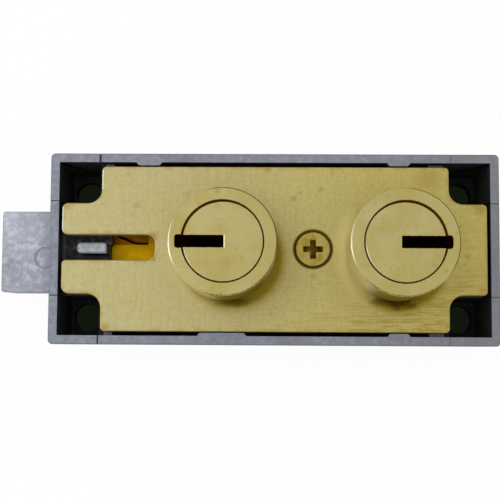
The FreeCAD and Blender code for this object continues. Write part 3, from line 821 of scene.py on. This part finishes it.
def buildPlug(station, material):
    g = plug
    x, face = station["x"], nose["face"]
    profile = [
        (g["shank"], g["bottom"]), (g["shank"], g["flangeBottom"]), (g["flange"], g["flangeBottom"]),
        (g["flange"], g["flangeTop"]), (g["radius"], g["flangeTop"]), (g["radius"], face - g["chamfer"]),
        (g["radius"] - g["chamfer"], face),
    ]
    body = addTurned(station["name"] + "PlugCore", x, profile, 144)
    inner, outer = x - station["out"] * station["keywayStart"], x + station["out"] * (g["flange"] + 1)
    half = g["keyway"] / 2
    x0, x1 = sorted((inner, outer))
    cut(body, addBlock("cutter", x0, x1, -half, half, g["keywayBottom"], face + 1))

    def atInnerEnd(a, b):
        return max(abs(a.x - inner), abs(b.x - inner), abs(a.z - face), abs(b.z - face)) < 0.01

    bevelWhere(body, atInnerEnd, g["keywayBevel"], 3)
    if station is renter:
        cut(body, addRod("cutter", *g["driverSeat"], g["flangeBottom"] - 1, g["flangeTop"], 40))
    softenEdges(body, g["edge"], 2, 40)
    finishPiece(body, station["name"] + "_plug", material, station["name"] + "_plug")


# Cover screw, countersunk, cross recess

screw = {
    "x": 9.35, "sinkRadius": 4.62, "shank": 2.1, "tip": 0.5, "bottom": 6.0, "headDepth": 2.3,
    "head": [(4.5, 0.22), (4.38, 0.12), (4.2, 0.03), (3.6, 0.0)],  # radius, depth
    "faceRadius": 4.1, "edge": 0.05, "crossSpan": 5.7, "crossWidth": 1.5, "crossDepth": 1.15,
    "crossNarrowing": (0.42, 0.75), "crossCore": (0.35, 1.3),  # along and across, radii
    "plain": (0.43, 0.345, 0.095), "dull": (0.33, 0.235, 0.03),
    "grimeAndShade": (0.075, 0.042, 0.0005), "crossPaint": (0.090, 0.052, 0.001),
    "crossFloor": (0.33, 0.25, 0.06),
}


def screwBrass():
    book = Book("screwBrass")
    place = book.point()
    x, z = book.parts(place)[::2]
    cloud = book.noise(place, 0.5, 4, 0.6)
    grain = book.noise(place, 3.0, 3, 0.6)
    colour = book.mix(cloud.ramp(0.4, 0.68), screw["plain"], screw["dull"])
    # The cross is painted dark as shade, and a little of its floor takes a painted highlight on the bolt's
    # side.
    sunk = (plate["top"] - 0.10 - z).ramp(0.0, 0.2)
    colour = book.mix(sunk, colour, screw["crossPaint"])
    bottomed = (plate["top"] - 0.70 - z).ramp(0.0, 0.25) * (screw["x"] - x).ramp(0.0, 1.0)
    colour = book.mix(bottomed * cloud.ramp(0.35, 0.60) * 0.8, colour, screw["crossFloor"])
    away = book.distance(book.stretch(place, (1, 1, 0)), (screw["x"], 0, 0)) + grain * 0.2
    rim = away.ramp(screw["faceRadius"] - 0.10, screw["faceRadius"] + 0.10)
    colour = book.mix(rim, colour, screw["grimeAndShade"])
    rough = grain.ramp(0.3, 0.7, 0.42, 0.54)
    relief = book.bump(grain, 0.3, 0.02)
    return book.surface(colour, 0.65, rough, relief, 0.1, brassTint)


def buildScrew():
    s = screw
    x, top = s["x"], plate["top"]
    profile = [
        (s["shank"] - s["tip"], s["bottom"]), (s["shank"], s["bottom"] + s["tip"]),
        (s["shank"], top - s["headDepth"]), *[(radius, top - depth) for radius, depth in s["head"]],
    ]
    body = addTurned("coverScrew", x, profile, 112)
    along, across = s["crossNarrowing"]
    span, width = s["crossSpan"] / 2, s["crossWidth"] / 2
    arms = []
    for halfX, halfY, narrow in ((span, width, (along, across, 1)), (width, span, (across, along, 1))):
        arm = addBlock("arm", x - halfX, x + halfX, -halfY, halfY, top - s["crossDepth"], top + 0.3)
        scaleFaces(arm, facingDown, narrow, (x, 0, 0))
        arms.append(arm)
    cross = add(arms[0], arms[1])
    coreBottom, coreTop = s["crossCore"]
    add(cross, addTurned("cutter", x, [(coreBottom, top - s["crossDepth"]), (coreTop, top + 0.3)], 24))
    cut(body, cross)
    softenEdges(body, s["edge"], 2, 40)
    finishPiece(body, "case", screwBrass(), "cover_screw")
    print("screw built")


# Bolt, a zinc die casting

bolt = {
    "tipX": -66.7, "headBackX": -51.9, "sides": (-10.35, 9.6), "draft": 0.65,
    "headBottom": 3.0, "headTop": 14.4,
    "hollow": (-60.0, -8.5, 8.5, 9.4),  # outer end, sides, top
    "tipRadius": 0.7, "edge": 0.22, "plateBottom": 9.5, "plateTop": 12.2,
    "frame": [  # x and y ends of the plate, rails and fork
        (-52.4, -38.0, -9.75, 9.75), (-38.2, -35.5, -17.5, 17.5), (-36.0, 27.5, -17.5, -11.3),
        (-36.0, 24.0, 11.3, 17.5), (17.5, 20.7, -11.8, -5.9), (25.6, 27.5, -11.8, -5.9),
        (-32.6, -30.0, -11.8, -3.2), (27.3, 37.6, -10.1, -5.9), (35.0, 37.6, -10.1, -3.2),
    ],
    "guides": [
        (-33.0, -26.0, -16.5, -13.0), (-33.0, -26.0, 13.0, 16.5),
        (12.0, 19.0, -16.5, -13.0), (12.0, 19.0, 13.0, 16.5),
    ],
    "guideTop": 16.2,
    "leverWindow": [(-40.5, -35.4, -5.5, 1.8), (-39.95, -35.4, 1.7, 5.5)],
    "fenceHoles": [(-31.3, -4.5), (36.3, -4.5)], "fenceRadius": 0.9,
    "lug": (-48.05, -40.65, -0.95, 1.85, 16.0),  # ends, sides, top
    "lugCorners": (1.2, 0.9, 0.2), "lugEdge": 0.3, "lugZone": (-49.5, -40.0, 15.7),
    "ejector": (-55.95, -1.83, 2.15, 2.75), "ejectorDepth": 0.15,  # x, y, radii
    "mottle": 0.62, "plain": (0.325, 0.345, 0.400), "pale": (0.535, 0.557, 0.618),
    "dull": (0.180, 0.190, 0.225), "tint": (0.300, 0.325, 0.390),
    "insideShade": (0.030, 0.030, 0.032), "patch": (0.110, 0.110, 0.118),
    "litPale": (0.31, 0.325, 0.375), "lugPale": (0.45, 0.465, 0.51),
    "lugRimTone": (0.13, 0.15, 0.20),
}


def boltMarksAndShade(book, place, colour):
    b = bolt
    x, y, z = book.parts(place)
    lower, upper = b["sides"]
    edge = (x - b["tipX"]).least(y - lower).least(upper - y)
    colour = book.mix(edge.fade(0.0, 0.5, 0.5), colour, b["dull"])
    markX, markY, inside, outside = b["ejector"]
    ring = abs(book.distance(place, (markX, markY, b["headTop"])) - (inside + outside) / 2)
    colour = book.mix(ring.fade(0.05, 0.40, 0.55), colour, b["dull"])
    # Painted shade on the head's sides, towards the bottom and towards the case; painted light at the upper
    # left.
    colour = book.mix((b["headTop"] - 0.15 - z).ramp(0.0, 0.3) * 0.9, colour, b["dull"])
    colour = book.mix(y.ramp(1, -9) * 0.20, colour, b["dull"])
    colour = book.mix(x.ramp(-58.5, -54.5) * 0.20, colour, b["dull"])
    colour = book.mix(y.ramp(0, 8) * x.ramp(-57, -60) * 0.25, colour, b["pale"])
    # Past the head the bolt is painted dark as shade, lighter and patchy towards its upper side, apart from
    # the top of the lug, which keeps the casting's pale tone, darker towards its edges.
    patch = book.noise(place, 0.8, 4, 0.65)
    insideShade = book.mix(patch.ramp(0.42, 0.66) * y.ramp(-2.5, 1.5), b["insideShade"], b["patch"])
    colour = book.mix(x.ramp(b["headBackX"] - 0.3, b["headBackX"] + 0.5), colour, insideShade)
    zoneStart, zoneEnd, zoneBottom = b["lugZone"]
    lugTop = z.ramp(zoneBottom, zoneBottom + 0.25)
    lugTop = lugTop * (x - zoneStart).ramp(0, 0.3) * (zoneEnd - x).ramp(0, 0.3)
    x0, x1, y0, y1 = b["lug"][:4]
    inset = (x - x0).least(x1 - x).least(y - y0).least(y1 - y)
    litPale = book.mix(patch.ramp(0.36, 0.62), b["litPale"], b["lugPale"])
    litPale = book.mix(inset.fade(0.15, 0.75, 0.8), litPale, b["lugRimTone"])
    return book.mix(lugTop, colour, litPale)


def buildBolt():
    b = bolt
    z0, z1 = b["plateBottom"], b["plateTop"]
    lower, upper = b["sides"]
    body = addBlock("boltCasting", b["tipX"], b["headBackX"], lower, upper, b["headBottom"], b["headTop"])
    for y in (lower, upper):
        bevelWhere(body, upright(b["tipX"], y), b["tipRadius"], 5)
    # The lower side leans in, as a casting's side does to leave its mould.
    scaleFaces(body, facingDown, (1, 1 - b["draft"] / (upper - lower), 1), (0, upper, 0))
    hollowX, hollowLower, hollowUpper, hollowTop = b["hollow"]
    hollowEnd, hollowBottom = b["headBackX"] + 1, b["headBottom"] - 1
    cut(body, addBlock("cutter", hollowX, hollowEnd, hollowLower, hollowUpper, hollowBottom, hollowTop))
    add(body, *[addBlock("part", *ends, z0, z1) for ends in b["frame"]])
    add(body, *[addBlock("part", *ends, z1 - 0.5, b["guideTop"]) for ends in b["guides"]])
    cut(body, *[addBlock("cutter", *ends, z0 - 1, z1 + 1) for ends in b["leverWindow"]])
    cut(body, *[addRod("cutter", x, y, b["fenceRadius"], z0 - 1, z1 + 1, 32) for x, y in b["fenceHoles"]])
    softenEdges(body, b["edge"], 3)
    add(body, buildLug())
    markX, markY, inside, outside = b["ejector"]
    low, high = b["headTop"] - b["ejectorDepth"], b["headTop"] + 1
    ring = [(inside, low), (outside, low), (outside, high), (inside, high)]
    mark = addTurned("cutter", markX, ring, 64, closed=True)
    mark.location.y = markY * mm
    cut(body, settle(mark))
    finishPiece(body, "bolt", castZinc("castZincBolt", b, boltMarksAndShade), "bolt")
    print("bolt built")


def buildLug():
    x0, x1, y0, y1, top = bolt["lug"]
    outer, innerUpper, innerLower = bolt["lugCorners"]
    lug = addBlock("lug", x0, x1, y0, y1, bolt["plateTop"] - 0.5, top)
    corners = [(x0, y0, outer, 6), (x0, y1, outer, 6), (x1, y1, innerUpper, 5), (x1, y0, innerLower, 2)]
    for x, y, radius, steps in corners:
        bevelWhere(lug, upright(x, y), radius, steps)
    bevelWhere(lug, levelAt(top), bolt["lugEdge"], 3)
    return lug


# Levers, posts, pins: the CAD solids show, with their own finishes

# The lower levers take a darker copy of the top lever's brass, as painted shade.
worksTones = {
    "lever": (0.98, 0.56, 0.0005), "leverDull": (0.84, 0.45, 0.0005),
    "lower": (0.74, 0.27, 0.0005), "lowerDull": (0.52, 0.17, 0.0005),
    "steel": (0.42, 0.42, 0.43), "steelDull": (0.25, 0.25, 0.26),
    "blued": (0.020, 0.0060, 0.0015), "bluedDull": (0.010, 0.0030, 0.0010),
}


def leverBrass(name, colour1, colour2):
    book = Book(name)
    place = book.point()
    cloud = book.noise(place, 0.3, 4, 0.6)
    lines = book.noise(book.stretch(place, (0.3, 6.0, 1.0)), 1.0, 3, 0.6)
    colour = book.mix(cloud.ramp(0.4, 0.7), colour1, colour2)
    colour = book.mix(lines.ramp(0.5, 0.8) * 0.3, colour, colour2)
    rough = cloud.ramp(0.3, 0.7, 0.38, 0.5)
    relief = book.bump(lines, 0.3, 0.015)
    return book.surface(colour, 0.3, rough, relief, 0.05)


def plainSteel(name, colour, dark):
    book = Book(name)
    place = book.point()
    grain = book.noise(place, 2.5, 4, 0.6)
    tone = book.mix(grain.ramp(0.4, 0.7), colour, dark)
    rough = grain.ramp(0.3, 0.7, 0.28, 0.42)
    relief = book.bump(grain, 0.25, 0.01)
    return book.surface(tone, 0.95, rough, relief)


def dressHiddenNodes():
    lever = leverBrass("leverBrass", worksTones["lever"], worksTones["leverDull"])
    lower = leverBrass("shadedLeverBrass", worksTones["lower"], worksTones["lowerDull"])
    steel = plainSteel("plainSteel", worksTones["steel"], worksTones["steelDull"])
    for station in (guard, renter):
        for number in range(1, station["levers"] + 1):
            top = number == station["levers"]
            dressNode(station["name"] + "_lever_" + str(number), lever if top else lower)
        for part in ("_fence", "_lever_post"):
            dressNode(station["name"] + part, steel)
    dressNode("driver_pin", steel)
    print("levers and pins dressed")


def dressNode(name, material):
    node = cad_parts[name]
    node.data.materials.clear()
    node.data.materials.append(material)


# Springs: flat strips, drawn bent along a path from their lever to the case

spring = {
    "thickness": 0.3, "topThickness": 0.52, "width": 0.9,
    "packBottom": 2.58, "pitch": 1.3, "halfLever": 0.61, "packSize": 5,
    "guardTop": [
        (-31.6, 2.54), (-33.1, 2.54), (-34.6, 2.54), (-36.4, 3.3), (-38.3, 4.1), (-39.8, 4.6), (-40.35, 5.6),
        (-40.2, 6.4), (-39.4, 7.0), (-38.3, 7.5), (-37.85, 8.9), (-37.5, 10.2), (-37.0, 11.42),
    ],
    "guardMiddle": [
        (-32.3, 4.75), (-33.6, 4.75), (-34.9, 4.75), (-36.5, 5.6), (-38.0, 6.4), (-39.1, 6.9), (-39.25, 7.6),
        (-38.6, 8.5), (-38.0, 9.8), (-37.0, 11.42),
    ],
    "guardLow": [
        (-32.3, 4.95), (-33.6, 4.95), (-34.9, 4.95), (-36.5, 5.75), (-38.0, 6.45), (-39.1, 6.95),
        (-39.25, 7.6), (-38.6, 8.5), (-38.0, 9.8), (-37.0, 11.42),
    ],
    "renter": [
        (22.5, 9.55), (27.0, 9.55), (31.0, 9.55), (33.2, 9.75), (34.15, 10.9), (34.1, 12.4), (33.2, 13.6),
        (30.5, 14.1), (27.0, 14.7), (24.0, 15.2), (21.0, 17.3), (16.9, 20.75),
    ],
}


def buildSprings():
    blued = plainSteel("bluedSteel", worksTones["blued"], worksTones["bluedDull"])
    for station in (guard, renter):
        for number in range(1, station["levers"] + 1):
            buildSpring(station, number, blued)
    print("springs built")


def buildSpring(station, number, material):
    key = "renter"
    if station is guard:
        key = ("guardLow", "guardMiddle", "guardTop")[number - 1]
    path = spring[key]
    place = spring["packSize"] - station["levers"] + number - 1
    middle = spring["packBottom"] + place * spring["pitch"] + spring["halfLever"]
    strip = drawStrip(station["name"] + "Spring" + str(number), path, middle)
    thickness = spring["topThickness"] if key == "guardTop" else spring["thickness"]
    rounding = {"levels": 2, "render_levels": 2, "boundary_smooth": "PRESERVE_CORNERS"}
    shell = {"thickness": thickness * mm, "offset": 0.0}
    for kind, settings in (("SUBSURF", rounding), ("SOLIDIFY", shell)):
        step = strip.modifiers.new(kind.lower(), kind)
        for setting, value in settings.items():
            setattr(step, setting, value)
        bpy.ops.object.modifier_apply(modifier=step.name)
    smoothFaces(strip)
    strip.data.materials.append(material)
    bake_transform(strip)
    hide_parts(station["name"] + "_lever_spring_" + str(number))


def drawStrip(name, path, middle):
    # One upright edge, drawn out along the path
    deselectAll()
    bpy.ops.mesh.primitive_plane_add(size=1)
    strip = bpy.context.object
    strip.name = name
    bpy.ops.object.mode_set(mode="EDIT")
    bpy.ops.mesh.delete(type="ONLY_FACE")
    bpy.ops.mesh.select_all(action="DESELECT")
    shape = bmesh.from_edit_mesh(strip.data)
    shape.verts.ensure_lookup_table()
    for extra in list(shape.verts)[2:]:
        shape.verts.remove(extra)
    half = spring["width"] / 2
    for vertex, side in zip(shape.verts, (-1, 1)):
        vertex.co = Vector((*path[0], middle + side * half)) * mm
        vertex.select_set(True)
    shape.select_flush(True)
    bmesh.update_edit_mesh(strip.data)
    for start, end in zip(path, path[1:]):
        bpy.ops.mesh.extrude_edges_move()
        bpy.ops.transform.translate(value=((end[0] - start[0]) * mm, (end[1] - start[1]) * mm, 0))
    bpy.ops.mesh.select_all(action="SELECT")
    bpy.ops.mesh.normals_make_consistent(inside=False)
    bpy.ops.object.mode_set(mode="OBJECT")
    return strip


# Floor, lamps and world

studio = {
    "world": 0.94, "aim": 10,
    "lamps": [("keyLamp", (-480, 170, 560), 460, 1.15), ("lowLamp", (-700, -30, 120), 200, 1.2)],
    "footprint": (53.0, 22.0), "glow": 0.95,
    "floor": (0.90, 0.90, 0.90), "under": (0.0062, 0.0090, 0.0045),
}


def buildStudio():
    deselectAll()
    bpy.ops.mesh.primitive_plane_add(size=6, location=(0, 0, 0))
    floor = bpy.context.object
    floor.name = "floor"
    book = Book("paleFloor")
    # Under the lock the floor is painted dark as shade, which shows through the mounting holes.
    x, y = book.parts(book.point())[:2]
    reachX, reachY = studio["footprint"]
    under = (reachX - abs(x)).least(reachY - abs(y)) > 0.0
    ground = book.mix(under, studio["floor"], studio["under"])
    white = book.node("ShaderNodeBsdfDiffuse", {}, {"Color": ground})
    light = book.mix(under, (1, 1, 1), studio["under"])
    glow = book.node("ShaderNodeEmission", {}, {"Color": light, "Strength": 1.0})
    rays = ("Is Camera Ray", "Is Glossy Ray", "Is Transmission Ray")
    seen, mirrored, passed = (book.node("ShaderNodeLightPath", {}, {}, ray) for ray in rays)
    share = seen.most(mirrored).most(passed) * studio["glow"]
    both = book.node("ShaderNodeMixShader", {}, {0: share, 1: white, 2: glow})
    book.node("ShaderNodeOutputMaterial", {}, {"Surface": both})
    floor.data.materials.append(book.material)
    for lamp in studio["lamps"]:
        addLamp(*lamp)
    world = bpy.data.worlds.new("world")
    world.use_nodes = True
    background = world.node_tree.nodes["Background"]
    background.inputs["Color"].default_value = (1, 1, 1, 1)
    background.inputs["Strength"].default_value = studio["world"]
    bpy.context.scene.world = world
    bpy.context.scene.view_settings.view_transform = "Standard"
    print("studio built")


def addLamp(name, spot, size, power):
    data = bpy.data.lights.new(name, "AREA")
    data.size = size * mm
    data.energy = power
    lamp = bpy.data.objects.new(name, data)
    lamp.location = Vector(spot) * mm
    lamp.rotation_mode = "QUATERNION"
    target = Vector((0, 0, studio["aim"] * mm))
    lamp.rotation_quaternion = (target - lamp.location).to_track_quat("-Z", "Y")
    bpy.context.scene.collection.objects.link(lamp)


setCamera()
buildStudio()
buildCase()
buildPlate()
for station in (guard, renter):
    brass = turnedBrass(station["name"] + "TurnedBrass", station)
    buildNose(station, brass)
    buildPlug(station, brass)
print("noses and plugs built")
buildScrew()
buildBolt()
dressHiddenNodes()
buildSprings()
